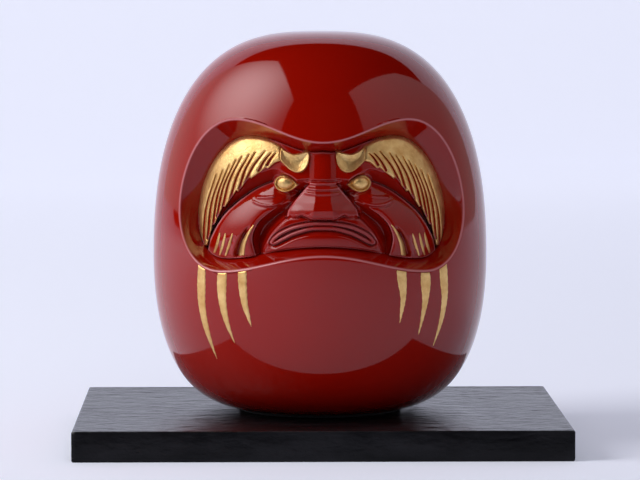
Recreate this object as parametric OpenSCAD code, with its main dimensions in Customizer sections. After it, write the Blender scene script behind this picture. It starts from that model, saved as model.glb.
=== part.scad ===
// Daruma doll in red lacquer with gold details, on a black display board.
// Millimetres, +Z up. The origin is the centre of the board's underside,
// and the doll stands on the board's middle and faces -Y.

/* [Display board] */
// Width of the board, from side to side
board_w = 150; // [125:1:200]
// Depth of the board, from front to back
board_depth = 112; // [100:1:200]
// Thickness of the board
board_t = 9.3; // [6:0.1:18]
// Radius of the board's upright corners
board_corner_r = 1.2; // [0.4:0.1:6]

/* [Body] */
// Greatest diameter of the body
body_d = 104; // [86:1:125]
// Height of the doll, felt included
body_h = 118; // [105:1:145]
// Height of the widest point above the board
belly_z = 48; // [42:1:56]
// Diameter that the rounded underside comes down to
foot_d = 39.6; // [32:0.2:48]
// Wall of the body shell
shell_wall = 3; // [2:0.1:4]

/* [Niche and mask] */
// Angle round the body from the face's middle to the niche's widest point
niche_angle = 57; // [48:0.1:60]
// Height of the niche's lowest edge above the board
niche_z = 46.5; // [38:0.1:54]
// Height of the niche from its lowest to its highest edge
niche_h = 45.5; // [38:0.5:50]
// Depth of the niche's floor below the body's surface
floor_depth = 10; // [8.5:0.1:12]
// Depth of the mask's plain surface below the body's surface
mask_depth = 7; // [6:0.1:8]
// Wall of the cup that lines the niche
cup_wall = 2.2; // [1.5:0.1:3]
// How far the cup's edge reaches back into the body
lip_depth = 8; // [6:0.5:10]
// Gap left for glue between pieces that are set into each other
glue_gap = 0.2; // [0.1:0.05:0.3]
// Height of the face's relief, 1 for the usual carving
relief_scale = 1; // [0.7:0.05:1.2]

/* [Gold pieces] */
// How far the brows stand out of the mask
brow_lift = 1.2; // [0.6:0.1:2]
// Depth of the slits between the locks of a brow
brow_slit = 2.4; // [1:0.1:4]
// How far the fine lines stand out of the surface
line_lift = 0.35; // [0.2:0.05:0.8]
// How deep each gold piece is keyed into the lacquer
key_depth = 0.6; // [0.4:0.1:1]
// Width of a whisker at its thickest
whisker_w = 0.8; // [0.5:0.1:1.2]
// Width of the moustache at its lower end
moustache_w = 1.7; // [1:0.1:2.4]
// Width of a beard stroke at its thickest
beard_w = 3.3; // [2:0.1:4]
// Length of the eye's rim from corner to corner
eye_w = 7.4; // [6:0.1:9]
// Height of the eye's rim
eye_h = 5.2; // [4:0.1:6]
// Width of the raised rim round the eye
eye_rim = 0.6; // [0.4:0.1:0.9]
// How far the eyeball bulges from its seat, to the front and to the back
eye_bulge = 1.3; // [0.9:0.1:1.4]

/* [Base] */
// Thickness of the felt under the foot
felt_t = 0.8; // [0.5:0.1:1.5]
// Diameter of the opening in the underside
plug_d = 32; // [24:1:36]
// Thickness of the plug that closes the opening
plug_t = 2.4; // [1.6:0.1:3]
// Height of the weight cast inside the base
weight_h = 15; // [8:1:24]

/* [Hidden] */

$fn = 96;
lacquer = [0.47, 0.06, 0.02];
gold = [0.86, 0.66, 0.36];

// The profile is a superellipse above and below the belly
top_p = 2.35;
top_q = 2.8;
low_p = 2.1;
low_q = 4.5;
body_r = body_d / 2;
crown_h = body_h - belly_z;
root_h = belly_z / pow(1 - pow(foot_d / body_d, low_q), 1 / low_p);

// Radius of the body at a height, for a surface sunk by off
function radius_at(z, off = 0) =
    let (
        up = z > belly_z,
        reach = (up ? crown_h : root_h) - off,
        t = min(abs(z - belly_z) / reach, 1)
    )
    (body_r - off) * pow(1 - pow(t, up ? top_p : low_p), 1 / (up ? top_q : low_q));

// The point of the body's front at a sideways place and a height, sunk by off
function on_body(x, z, off = 0) =
    [x, -sqrt(max(pow(radius_at(z, off), 2) - x * x, 1)), z];

// The face is drawn in shares: u of half the niche's width, v of its height
widest_v = 0.378;
niche_half = radius_at(niche_z + widest_v * niche_h) * sin(niche_angle);
function place(p) = [p.x * niche_half, niche_z + p.y * niche_h];

function bezier(p, t) =
    pow(1 - t, 3) * p[0] + 3 * pow(1 - t, 2) * t * p[1]
    + 3 * (1 - t) * t * t * p[2] + t * t * t * p[3];

// A line through a chain of cubic curves, with its last point
function curve(p, steps) = concat(
    [for (s = [0 : 3 : len(p) - 4], i = [0 : steps - 1])
        bezier([for (k = [0 : 3]) p[s + k]], i / steps)],
    [p[len(p) - 1]]
);

// A closed outline from its right half, which runs from top to bottom
function closed(half) = concat(
    half,
    [for (i = [len(half) - 2 : -1 : 1]) [-half[i].x, half[i].y]]
);

edge_steps = 12;
niche_half_line = curve([
    [0, 0.854], [0.23, 0.854], [0.39, 1],
    [0.6, 1], [0.85, 1], [1, 0.665],
    [1, widest_v], [1, 0.165], [0.895, 0],
    [0.73, 0], [0.505, 0], [0.275, 0.113],
    [0, 0.113]
], edge_steps);
mask_half_line = curve([
    [0, 0.783], [0.18, 0.763], [0.345, 0.874],
    [0.505, 0.874], [0.71, 0.874], [0.858, 0.578],
    [0.858, 0.317], [0.858, 0.165], [0.79, 0.076],
    [0.69, 0.076], [0.505, 0.076], [0.275, 0.17],
    [0, 0.17]
], edge_steps);
niche_line = closed(niche_half_line);
mask_line = closed(mask_half_line);
face_centre = [0, 0.45];
// The cup's floor and the mask's back share their rings, so the glue gap is even
floor_rings = 10;
function between(a, b, s) = [for (i = [0 : len(a) - 1]) a[i] + (b[i] - a[i]) * s];
function towards_centre(line, s) = [for (p = line) face_centre + (p - face_centre) * s];

// The mask's outline grown or shrunk by a distance, in shares
function grown(line, d) = [for (p = line)
    [p.x * (1 + d / niche_half), 0.5 + (p.y - 0.5) * (1 + 2 * d / niche_h)]];

// Masses of the face: u, v, reach sideways, reach upwards, height
masses = [
    [0, 0.66, 0.14, 0.15, 2.2],
    [0, 0.47, 0.1, 0.17, 2.6],
    [0, 0.385, 0.13, 0.08, 3],
    [0.165, 0.375, 0.09, 0.07, 2.6],
    [0.2, 0.72, 0.14, 0.09, 2],
    [0.5, 0.72, 0.32, 0.16, 1.6],
    [0.78, 0.42, 0.1, 0.3, 1.2],
    [0.275, 0.585, 0.16, 0.09, -1.4],
    [0.55, 0.46, 0.14, 0.1, -1.6],
    [0.4, 0.38, 0.19, 0.12, 2.4],
    [0.44, 0.24, 0.1, 0.1, -1.4],
    [0.56, 0.2, 0.09, 0.16, 1.4],
    [0, 0.18, 0.3, 0.05, 1.2]
];
function dome(u, v, m) =
    let (d = pow((u - m[0]) / m[2], 2) + pow((v - m[1]) / m[3], 2))
    d < 1 ? m[4] * pow(1 - d, 1.5) : 0;
function total(list, i = 0) = i < len(list) ? list[i] + total(list, i + 1) : 0;

// The frowning lips are two ridges along one falling curve
mouth_half = 0.37;
function lips(u, v) =
    let (line = 0.286 - 0.85 * u * u, fade = max(1 - pow(u / mouth_half, 6), 0))
    1.9 * fade * (exp(-pow((v - line - 0.027) / 0.02, 2)) + exp(-pow((v - line + 0.027) / 0.02, 2)));
function relief(u, v) = relief_scale
    * (total([for (m = masses) dome(abs(u), v, m)]) + lips(abs(u), v));

// Surfaces that the gold pieces lie on, raised by out
on_mask = function (x, z, out)
    [x, on_body(x, z, mask_depth).y - relief(x / niche_half, (z - niche_z) / niche_h) - out, z];
on_shell = function (x, z, out) [x, on_body(x, z).y - out, z];

// A closed skin over rings of equal point count
module skin(rings) {
    n = len(rings[0]);
    last = len(rings) - 1;
    walls = [for (r = [0 : last - 1], i = [0 : n - 1])
        let (j = (i + 1) % n, a = r * n, b = a + n)
        each [[a + i, a + j, b + j], [a + i, b + j, b + i]]];
    start = [for (i = [1 : n - 2]) [0, i + 1, i]];
    end = [for (i = [1 : n - 2]) [last * n, last * n + i, last * n + i + 1]];
    polyhedron([for (r = rings) each r], concat(walls, start, end), convexity = 8);
}

// A crowned strip between two edges, laid on a surface and keyed into it
module strip(edge_a, edge_b, lift, bed, across = 4) {
    function point(i, k, out) =
        let (p = edge_a[i] + (edge_b[i] - edge_a[i]) * k / across)
        bed(p.x, p.y, out);
    skin([for (i = [0 : len(edge_a) - 1]) concat(
        [for (k = [0 : across]) point(i, k, lift * (0.4 + 0.6 * sin(180 * k / across)))],
        [for (k = [across : -1 : 0]) point(i, k, -key_depth)]
    )]);
}

// The edge of a line of changing half width, on one side of it
function edge(line, halves, side) = [for (i = [0 : len(line) - 1])
    let (d = line[min(i + 1, len(line) - 1)] - line[max(i - 1, 0)])
    line[i] + side * halves[i] * [-d.y, d.x] / norm(d)];
module brushed(line, halves, bed) {
    strip(edge(line, halves, 1), edge(line, halves, -1), line_lift, bed);
}

// Copies a piece of the doll's left side, at -X, to the right side
module on_side(right) {
    translate([0, 0, board_t]) mirror([right ? 0 : 1, 0, 0]) children();
}

// ---- Board ----
module display_board() {
    reach = [board_w, board_depth] / 2 - board_corner_r * [1, 1];
    corners = [[1, 1, 0], [-1, 1, 90], [-1, -1, 180], [1, -1, 270]];
    color([0.06, 0.055, 0.06]) linear_extrude(board_t) polygon([
        for (c = corners, a = [0 : 15 : 90])
            [c.x * reach.x, c.y * reach.y] + board_corner_r * [cos(c.z + a), sin(c.z + a)]
    ]);
}

// ---- Body ----
shell_steps = 44;
// Heights crowd towards the crown and the foot, where the profile turns
function heights(low, high) = [for (i = [0 : shell_steps])
    low + (high - low) * (1 - cos(180 * i / shell_steps)) / 2];
module body_shell() {
    outer = [for (z = heights(felt_t, body_h)) [radius_at(z), z]];
    hollow_low = belly_z - root_h + shell_wall;
    hollow = [for (z = heights(hollow_low, body_h - shell_wall)) [radius_at(z, shell_wall), z]];
    color(lacquer) translate([0, 0, board_t]) difference() {
        rotate_extrude() polygon(concat([[0, felt_t]], outer));
        rotate_extrude() polygon(concat([[0, hollow_low]], hollow));
        rotate([90, 0, 0]) linear_extrude(body_r) polygon([for (p = niche_line) place(p)]);
        cylinder(h = belly_z, d = plug_d);
    }
}

// ---- Niche and mask ----
module niche_cup() {
    wall_rings = 6;
    floor_edge = [for (p = grown(mask_line, glue_gap)) place(p)];
    lip = [for (p = grown(niche_line, -glue_gap)) place(p)];
    function inner(s) = [for (p = towards_centre(grown(mask_line, glue_gap), s)) place(p)];
    function wall_point(i, s) =
        let (
            p = floor_edge[i] + (lip[i] - floor_edge[i]) * s,
            low = on_body(floor_edge[i].x, floor_edge[i].y, floor_depth).y,
            high = on_body(lip[i].x, lip[i].y).y
        )
        [p.x, low + (high - low) * pow(s, 1.8), p.y];
    front_floor = [for (k = [1 : floor_rings]) [for (p = inner(k / floor_rings))
        on_body(p.x, p.y, floor_depth)]];
    front_wall = [for (k = [1 : wall_rings]) [for (i = [0 : len(lip) - 1])
        wall_point(i, k / wall_rings)]];
    back_lip = [for (p = lip) on_body(p.x, p.y) + [0, lip_depth, 0]];
    back_floor = [for (k = [floor_rings : -1 : 1]) [for (p = inner(k / floor_rings))
        on_body(p.x, p.y, floor_depth) + [0, cup_wall, 0]]];
    color(lacquer) translate([0, 0, board_t])
        skin(concat(front_floor, front_wall, [back_lip], back_floor));
}

module face_mask() {
    front_rings = 30;
    function ring(s) = [for (p = towards_centre(mask_line, s)) place(p)];
    front = [for (k = [1 : front_rings]) [for (p = ring(k / front_rings))
        on_mask(p.x, p.y, 0)]];
    back = [for (k = [floor_rings : -1 : 1]) [for (p = ring(k / floor_rings))
        on_body(p.x, p.y, floor_depth - glue_gap)]];
    color(lacquer) translate([0, 0, board_t]) skin(concat(front, back));
}

// ---- Gold on the mask ----
locks = 9;
steps_per_lock = 4;
module brow() {
    n = locks * steps_per_lock;
    outer = curve([
        [0.3, 0.83], [0.36, 0.862], [0.42, 0.866], [0.505, 0.866],
        [0.7, 0.866], [0.85, 0.58], [0.85, 0.33]
    ], n / 2);
    outer_line = concat([for (i = [0 : n]) outer[i]]);
    inner_line = curve([[0.305, 0.735], [0.5, 0.67], [0.76, 0.46], [0.81, 0.2]], n);
    // Each lock steps back by a slit and reaches forward again to its tip
    function slit(i) = i == 0 || i == n ? 0 : brow_slit * (1 - (i % steps_per_lock) / steps_per_lock);
    outer_edge = [for (p = outer_line) place(p)];
    inner_edge = [for (i = [0 : n])
        let (a = place(inner_line[i]), d = outer_edge[i] - a)
        a + d / norm(d) * min(slit(i), norm(d) * 0.5)];
    strip(inner_edge, outer_edge, brow_lift, on_mask, across = 6);
}
module brow_left() {
    color(gold) on_side(false) brow();
}
module brow_right() {
    color(gold) on_side(true) brow();
}

tuft_steps = 8;
module brow_tuft() {
    upper = [for (p = curve([[0.095, 0.775], [0.16, 0.79], [0.24, 0.765], [0.29, 0.822]], tuft_steps))
        place(p)];
    lower = [for (p = curve([[0.097, 0.75], [0.11, 0.64], [0.21, 0.63], [0.296, 0.735]], tuft_steps))
        place(p)];
    strip(lower, upper, brow_lift, on_mask);
}
module brow_tuft_left() {
    color(gold) on_side(false) brow_tuft();
}
module brow_tuft_right() {
    color(gold) on_side(true) brow_tuft();
}

// Two arcs that meet in the corners of the eye
module almond(w, h) {
    r = (w * w + h * h) / (4 * h);
    intersection_for(side = [-1, 1]) translate([0, side * (r - h / 2)]) circle(r);
}
eye_spot = place([0.262, 0.583]);
eye_seat = on_mask(eye_spot.x, eye_spot.y, 0);
eye_turn = atan2(eye_seat.x, -eye_seat.y);
rim_t = 1.6;
module at_eye() {
    translate(eye_seat) rotate([0, 0, eye_turn]) children();
}
module eye_ring() {
    at_eye() rotate([90, 0, 0]) translate([0, 0, -rim_t / 2]) linear_extrude(rim_t) difference() {
        almond(eye_w, eye_h);
        almond(eye_w - 2 * eye_rim, eye_h - 2 * eye_rim);
    }
}
module eyeball() {
    corner_gap = 1.2;
    ball_w = eye_w - 2 * eye_rim - corner_gap;
    ball_h = eye_h - 2 * eye_rim;
    at_eye() scale([ball_w / 2, eye_bulge, ball_h / 2]) sphere(1);
}
module eye_rim_left() {
    color(gold) on_side(false) eye_ring();
}
module eye_rim_right() {
    color(gold) on_side(true) eye_ring();
}
module eyeball_left() {
    color(gold) on_side(false) eyeball();
}
module eyeball_right() {
    color(gold) on_side(true) eyeball();
}

stroke_steps = 10;
fine_end = 0.12;
module moustache() {
    line = [for (p = curve([[0.479, 0.31], [0.53, 0.25], [0.565, 0.18], [0.574, 0.1]], stroke_steps))
        place(p)];
    brushed(line, [for (i = [0 : stroke_steps])
        fine_end + (moustache_w / 2 - fine_end) * i / stroke_steps], on_mask);
}
module moustache_left() {
    color(gold) on_side(false) moustache();
}
module moustache_right() {
    color(gold) on_side(true) moustache();
}

module whiskers() {
    tops = [[0.642, 0.241], [0.69, 0.237], [0.728, 0.235]];
    ends = [[0.686, 0.105], [0.724, 0.107], [0.766, 0.13]];
    for (w = [0 : len(tops) - 1])
        brushed([for (i = [0 : stroke_steps]) place(tops[w] + (ends[w] - tops[w]) * i / stroke_steps)],
            [for (i = [0 : stroke_steps]) fine_end
                + (whisker_w / 2 - fine_end) * sin(180 * i / stroke_steps)], on_mask);
}
module whiskers_left() {
    color(gold) on_side(false) whiskers();
}
module whiskers_right() {
    color(gold) on_side(true) whiskers();
}

// ---- Gold on the body ----
// A stroke hangs from the niche's edge: degrees round the body at its top,
// at its belly and at its tip, then its length
edge_keys = [for (i = [2 * edge_steps : len(niche_half_line) - 1])
    let (p = place(niche_half_line[i])) [p.x, p.y]];
module beard_stroke(top, belly, tip, length) {
    top_gap = 0.5;
    n = 2 * stroke_steps;
    z_top = lookup(radius_at(niche_z) * sin(top), edge_keys) - top_gap;
    function spot(t) =
        let (
            z = z_top - length * t,
            a = bezier([top, belly, belly, tip], t)
        )
        [radius_at(z) * sin(a), z];
    function half_width(t) = fine_end
        + (beard_w / 2 - fine_end) * (t < 0.2 ? 0.75 + 1.25 * t : pow(1 - pow((t - 0.2) / 0.8, 1.7), 0.9));
    brushed([for (i = [0 : n]) spot(i / n)], [for (i = [0 : n]) half_width(i / n)], on_shell);
}
module beard_left_outer() {
    color(gold) on_side(false) beard_stroke(44.7, 46.2, 42.7, 27);
}
module beard_left_middle() {
    color(gold) on_side(false) beard_stroke(35.7, 36.8, 33.1, 22);
}
module beard_left_inner() {
    color(gold) on_side(false) beard_stroke(27.9, 28.2, 25.7, 17);
}
module beard_right_outer() {
    color(gold) on_side(true) beard_stroke(44.9, 47, 44.2, 24);
}
module beard_right_middle() {
    color(gold) on_side(true) beard_stroke(36.3, 37.8, 35.9, 19.5);
}
module beard_right_inner() {
    color(gold) on_side(true) beard_stroke(26.9, 28.4, 27.4, 16.5);
}

// ---- Base ----
module base_weight() {
    gap = shell_wall + glue_gap;
    seat = felt_t + plug_t + glue_gap;
    low = max(belly_z - root_h + gap + glue_gap, seat);
    // with a thicker shell the weight reaches down through the opening to the plug
    neck_r = plug_d / 2 - glue_gap;
    bottom = low > seat ? [[0, seat], [neck_r, seat], [neck_r, low]] : [[0, low]];
    slices = 10;
    side = [for (i = [0 : slices]) let (z = low + weight_h * i / slices) [radius_at(z, gap), z]];
    color([0.62, 0.6, 0.56]) translate([0, 0, board_t]) rotate_extrude()
        polygon(concat(bottom, side, [[0, low + weight_h]]));
}
module base_plug() {
    color([0.35, 0.25, 0.16]) translate([0, 0, board_t + felt_t])
        cylinder(h = plug_t, d = plug_d - glue_gap);
}
module felt_pad() {
    inset = 1.2;
    color([0.08, 0.08, 0.09]) translate([0, 0, board_t])
        cylinder(h = felt_t, r = radius_at(felt_t) - inset);
}

display_board();
body_shell();
niche_cup();
face_mask();
brow_left();
brow_right();
brow_tuft_left();
brow_tuft_right();
eye_rim_left();
eye_rim_right();
eyeball_left();
eyeball_right();
moustache_left();
moustache_right();
whiskers_left();
whiskers_right();
beard_left_outer();
beard_left_middle();
beard_left_inner();
beard_right_outer();
beard_right_middle();
beard_right_inner();
base_weight();
base_plug();
felt_pad();
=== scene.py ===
import math

import bmesh
import bpy
import numpy as np
from mathutils import Matrix, Vector


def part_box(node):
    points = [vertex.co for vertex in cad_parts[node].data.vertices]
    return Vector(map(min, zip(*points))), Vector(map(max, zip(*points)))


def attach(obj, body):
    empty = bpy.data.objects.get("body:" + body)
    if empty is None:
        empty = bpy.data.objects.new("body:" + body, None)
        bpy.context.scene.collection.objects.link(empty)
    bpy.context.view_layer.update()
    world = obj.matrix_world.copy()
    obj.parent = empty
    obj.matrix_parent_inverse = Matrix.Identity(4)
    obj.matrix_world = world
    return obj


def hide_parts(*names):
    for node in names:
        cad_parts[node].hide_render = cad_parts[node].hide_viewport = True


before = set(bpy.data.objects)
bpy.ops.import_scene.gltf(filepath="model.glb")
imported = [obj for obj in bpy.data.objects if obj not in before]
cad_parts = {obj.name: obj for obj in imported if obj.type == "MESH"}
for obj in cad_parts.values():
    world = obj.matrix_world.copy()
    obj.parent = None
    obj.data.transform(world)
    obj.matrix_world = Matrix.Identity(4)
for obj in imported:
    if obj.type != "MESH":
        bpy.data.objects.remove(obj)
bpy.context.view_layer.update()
mm = 0.001

# Sizes taken from the frame, in millimetres above the board's top
boardLow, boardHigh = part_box("display_board")
shellLow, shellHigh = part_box("body_shell")
boardTop = boardHigh.z
bodyR = (shellHigh.x - shellLow.x) / 2 / mm
bodyH = (shellHigh.z - boardTop) / mm
feltT = (shellLow.z - boardTop) / mm
profile = dict(belly=48.0, foot=39.6, topP=2.35, topQ=2.8, lowP=2.1, lowQ=4.5)
crownH = bodyH - profile["belly"]
footShare = profile["foot"] / 2 / bodyR
rootH = profile["belly"] / (1 - footShare ** profile["lowQ"]) ** (1 / profile["lowP"])


# Curves and fields
def radiusAt(z, sunk=0.0):
    up = z > profile["belly"]
    reach = np.where(up, crownH, rootH) - sunk
    t = np.clip(np.abs(z - profile["belly"]) / reach, 0, 1)
    p = np.where(up, profile["topP"], profile["lowP"])
    q = np.where(up, profile["topQ"], profile["lowQ"])
    return (bodyR - sunk) * (1 - t ** p) ** (1 / q)


def frontY(x, z, sunk=0.0):
    return -np.sqrt(np.maximum(radiusAt(z, sunk) ** 2 - x * x, 1))


def bezierLine(points, steps):
    p = np.array(points, float)
    t = (np.arange(steps) / steps)[:, None]
    parts = []
    for s in range(0, len(p) - 1, 3):
        a, b, c, d = p[s:s + 4]
        parts.append((1 - t) ** 3 * a + 3 * (1 - t) ** 2 * t * b + 3 * (1 - t) * t * t * c + t ** 3 * d)
    return np.vstack(parts + [p[-1:]])


def throughLine(points, steps=6):
    # a smooth line through given points
    p = np.array(points, float)
    ends = np.vstack([2 * p[0] - p[1], p, 2 * p[-1] - p[-2]])
    t = (np.arange(steps) / steps)[:, None]
    parts = []
    for i in range(1, len(ends) - 2):
        a, b, c, d = ends[i - 1:i + 3]
        parts.append(0.5 * (2 * b + (c - a) * t + (2 * a - 5 * b + 4 * c - d) * t ** 2
                            + (3 * b - a - 3 * c + d) * t ** 3))
    return np.vstack(parts + [p[-1:]])


def nearLine(x, z, line):
    # distance to a line, and how far along it the nearest place is, from 0 to 1
    best = np.full(x.shape, 1e9)
    along = np.zeros(x.shape)
    lengths = np.hypot(*(line[1:] - line[:-1]).T)
    done = np.concatenate([[0], np.cumsum(lengths)])
    for (a, b), start, size in zip(zip(line[:-1], line[1:]), done, lengths):
        t = np.clip(((x - a[0]) * (b[0] - a[0]) + (z - a[1]) * (b[1] - a[1]))
                    / max(size, 1e-9) ** 2, 0, 1)
        d = np.hypot(x - a[0] - t * (b[0] - a[0]), z - a[1] - t * (b[1] - a[1]))
        closer = d < best
        best = np.where(closer, d, best)
        along = np.where(closer, (start + t * size) / done[-1], along)
    return best, along


def insideBy(x, z, outline):
    # signed distance to a closed outline, positive inside
    loop = np.vstack([outline, outline[:1]])
    d = nearLine(x, z, loop)[0]
    odd = np.zeros(x.shape, bool)
    for a, b in zip(loop[:-1], loop[1:]):
        if a[1] == b[1]:
            continue
        crosses = (a[1] > z) != (b[1] > z)
        odd ^= crosses & (x < (b[0] - a[0]) * (z - a[1]) / (b[1] - a[1]) + a[0])
    return np.where(odd, d, -d)


def smoothStep(a, b, v):
    t = np.clip((v - a) / (b - a), 0, 1)
    return t * t * (3 - 2 * t)


def dome(x, z, cx, cz, rx, rz, power=1.5):
    return np.clip(1 - ((x - cx) / rx) ** 2 - ((z - cz) / rz) ** 2, 0, 1) ** power


def bell(d, width):
    return np.exp(-(d / width) ** 2)


# Outlines by their right halves, from the top to the bottom, in millimetres
nicheHalf = [(0, 84.7), (10, 84.7), (17, 91.4), (26.2, 91.4), (37, 91.4), (43.6, 76),
             (43.6, 62.8), (43.6, 53), (39, 45.4), (31.8, 45.4), (22, 45.4), (12, 50.6), (0, 50.6)]
maskHalf = [(0, 81.8), (7.5, 80.4), (12, 86.2), (22, 86.1), (31.2, 86), (37.9, 72),
            (37.9, 60), (37.9, 53), (34.8, 48.8), (30, 48.8), (22, 48.8), (12, 53), (0, 53)]


drawn = dict(wide=0.991, tall=0.988, lift=1.68)


def onDoll(points):
    # from the drawing sheet of the face to the doll
    return np.array(points, float) * (drawn["wide"], drawn["tall"]) + (0, drawn["lift"])


def onSheet(x, z):
    return x / drawn["wide"], (z - drawn["lift"]) / drawn["tall"]


def bothHalves(half):
    return np.vstack([half, half[-2:0:-1] * [-1, 1]])


nicheLine = onDoll(bothHalves(bezierLine(nicheHalf, 90)))
maskLine = onDoll(bothHalves(bezierLine(maskHalf, 90)))
sunk = dict(mask=7.0, floor=6.7, bow=1.1, ledge=0.75, deep=11.0, edgeDrop=0.5)


# Objects
def newPiece(name, bm, body, replaced, material, smooth=True):
    bm.normal_update()
    mesh = bpy.data.meshes.new(name)
    bm.to_mesh(mesh)
    bm.free()
    mesh.transform(Matrix.Translation((0, 0, boardTop)) @ Matrix.Scale(mm, 4))
    piece = bpy.data.objects.new(name, mesh)
    bpy.context.scene.collection.objects.link(piece)
    for face in mesh.polygons:
        face.use_smooth = smooth
    mesh.materials.append(material)
    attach(piece, body)
    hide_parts(*replaced)
    return piece


def markRelief(piece, values, name="relief"):
    # above 0 on crisp edges and below 0 in hollows, read by the material, which paints a highlight on the
    # edges and shade in the hollows
    layer = piece.data.attributes.new(name, "FLOAT", "POINT")
    layer.data.foreach_set("value", np.asarray(values, np.float32))


def placesOf(piece):
    # the places of a finished piece's vertices, in millimetres above the board
    return np.array([v.co for v in piece.data.vertices], float) / mm - (0, 0, boardTop / mm)


def coords(bm):
    return np.array([v.co for v in bm.verts], float).reshape(-1, 3)


def moveTo(bm, places):
    for v, place in zip(bm.verts, places):
        v.co = place


# Materials
# Wraps a socket so that shader maths reads as an expression
class Sock:
    def __init__(self, tree, socket):
        self.tree = tree
        self.socket = socket

    def maths(self, operation, other=None, swap=False):
        node = self.tree.nodes.new("ShaderNodeMath")
        node.operation = operation
        values = [self, other] if not swap else [other, self]
        for place, value in enumerate(values):
            if isinstance(value, Sock):
                self.tree.links.new(value.socket, node.inputs[place])
            elif value is not None:
                node.inputs[place].default_value = value
        return Sock(self.tree, node.outputs[0])

    def __add__(self, other):
        return self.maths("ADD", other)

    def __radd__(self, other):
        return self.maths("ADD", other)

    def __sub__(self, other):
        return self.maths("SUBTRACT", other)

    def __rsub__(self, other):
        return self.maths("SUBTRACT", other, True)

    def __mul__(self, other):
        return self.maths("MULTIPLY", other)

    def __rmul__(self, other):
        return self.maths("MULTIPLY", other)

    def __pow__(self, other):
        return self.maths("POWER", other)


# One material and the nodes that are put into it
class Finish:
    def __init__(self, name):
        self.material = bpy.data.materials.new(name)
        self.material.use_nodes = True
        self.tree = self.material.node_tree
        self.shader = self.tree.nodes["Principled BSDF"] if "Principled BSDF" in self.tree.nodes \
            else self.tree.nodes.new("ShaderNodeBsdfPrincipled")

    def node(self, kind, settings=None, inputs=None, output=0):
        made = self.tree.nodes.new(kind)
        for key, value in (settings or {}).items():
            setattr(made, key, value)
        for key, value in (inputs or {}).items():
            if isinstance(value, Sock):
                self.tree.links.new(value.socket, made.inputs[key])
            else:
                made.inputs[key].default_value = value
        return Sock(self.tree, made.outputs[output])

    def place(self, scale=(1, 1, 1)):
        at = self.node("ShaderNodeTexCoord", output=3)
        return self.node("ShaderNodeMapping", inputs={"Vector": at, "Scale": scale})

    def noise(self, scale, detail=2.0, stretch=(1, 1, 1), roughness=0.5):
        return self.node("ShaderNodeTexNoise", inputs={
            "Vector": self.place(stretch), "Scale": scale, "Detail": detail, "Roughness": roughness})

    def ramp(self, value, stops):
        made = self.tree.nodes.new("ShaderNodeValToRGB")
        while len(made.color_ramp.elements) < len(stops):
            made.color_ramp.elements.new(0.5)
        for element, (at, colour) in zip(made.color_ramp.elements, stops):
            element.position = at
            element.color = (*colour, 1)
        self.tree.links.new(value.socket, made.inputs[0])
        return Sock(self.tree, made.outputs[0])

    def mix(self, share, a, b):
        made = self.tree.nodes.new("ShaderNodeMix")
        made.data_type = "RGBA"
        for key, value in ((0, share), (6, a), (7, b)):
            if isinstance(value, Sock):
                self.tree.links.new(value.socket, made.inputs[key])
            elif key:
                made.inputs[key].default_value = (*value, 1)
            else:
                made.inputs[key].default_value = value
        return Sock(self.tree, made.outputs[2])

    def bump(self, height, strength, distance):
        return self.node("ShaderNodeBump", inputs={
            "Height": height, "Strength": strength, "Distance": distance})

    def shade(self, **inputs):
        for key, value in inputs.items():
            socket = self.shader.inputs[key.replace("_", " ")]
            if isinstance(value, Sock):
                self.tree.links.new(value.socket, socket)
            else:
                socket.default_value = (*value, 1) if isinstance(value, tuple) else value
        return self.material


# the fourth colour is painted shade for hollows and the fifth a painted highlight for crisp edges
lacquerLook = dict(colour=(0.26, 0.0035, 0.0004), deep=(0.20, 0.002, 0.0003),
                   hollowShade=(0.04, 0.0006, 0.0002), edgeHighlight=(0.8, 0.34, 0.36), roughness=0.06,
                   ior=1.45, waver=0.000012)


def makeLacquer():
    finish = Finish("redLacquer")
    cloud = finish.noise(28, 3)
    relief = finish.node("ShaderNodeAttribute", {"attribute_name": "relief"}, output=2)
    # painted shade: hollows, where the relief value is below 0, are darkened towards near black
    paintedHollowShade = finish.node("ShaderNodeMapRange", inputs={
        "Value": relief, "From Min": -0.04, "From Max": -0.26, "To Min": 0.0, "To Max": 0.8})
    # painted highlight: crisp edges, where the relief value is above 0, are lightened towards pale pink
    paintedEdgeHighlight = finish.node("ShaderNodeMapRange", inputs={
        "Value": relief, "From Min": 0.05, "From Max": 0.22, "To Min": 0.0, "To Max": 0.45})
    even = finish.mix((cloud - 0.5) * 0.5 + 0.12, lacquerLook["colour"], lacquerLook["deep"])
    colour = finish.mix(paintedEdgeHighlight, finish.mix(paintedHollowShade, even, lacquerLook["hollowShade"]), lacquerLook["edgeHighlight"])
    rough = finish.noise(160, 2) * 0.03 + (lacquerLook["roughness"] - 0.015)
    waver = finish.noise(55, 1)
    return finish.shade(Base_Color=colour, Roughness=rough, IOR=lacquerLook["ior"],
                        Normal=finish.bump(waver, 0.25, lacquerLook["waver"] * 4))


goldLook = dict(bright=(0.93, 0.63, 0.26), worn=(0.7, 0.38, 0.12), roughness=0.42, grain=0.0003)


def makeGold():
    finish = Finish("goldLeaf")
    cloud = finish.noise(260, 4, roughness=0.65)
    grain = finish.noise(1700, 3)
    share = finish.ramp(cloud, [(0.38, (0, 0, 0)), (0.72, (1, 1, 1))])
    colour = finish.mix(share, goldLook["bright"], goldLook["worn"])
    rough = grain * 0.16 + (goldLook["roughness"] - 0.08)
    return finish.shade(Base_Color=colour, Metallic=0.9, Roughness=rough,
                        Normal=finish.bump(grain, 0.5, goldLook["grain"]))


woodLook = dict(black=(0.002, 0.002, 0.003), grey=(0.011, 0.0105, 0.013), roughness=0.4, grain=0.0016,
                sheen=0.6)


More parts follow.
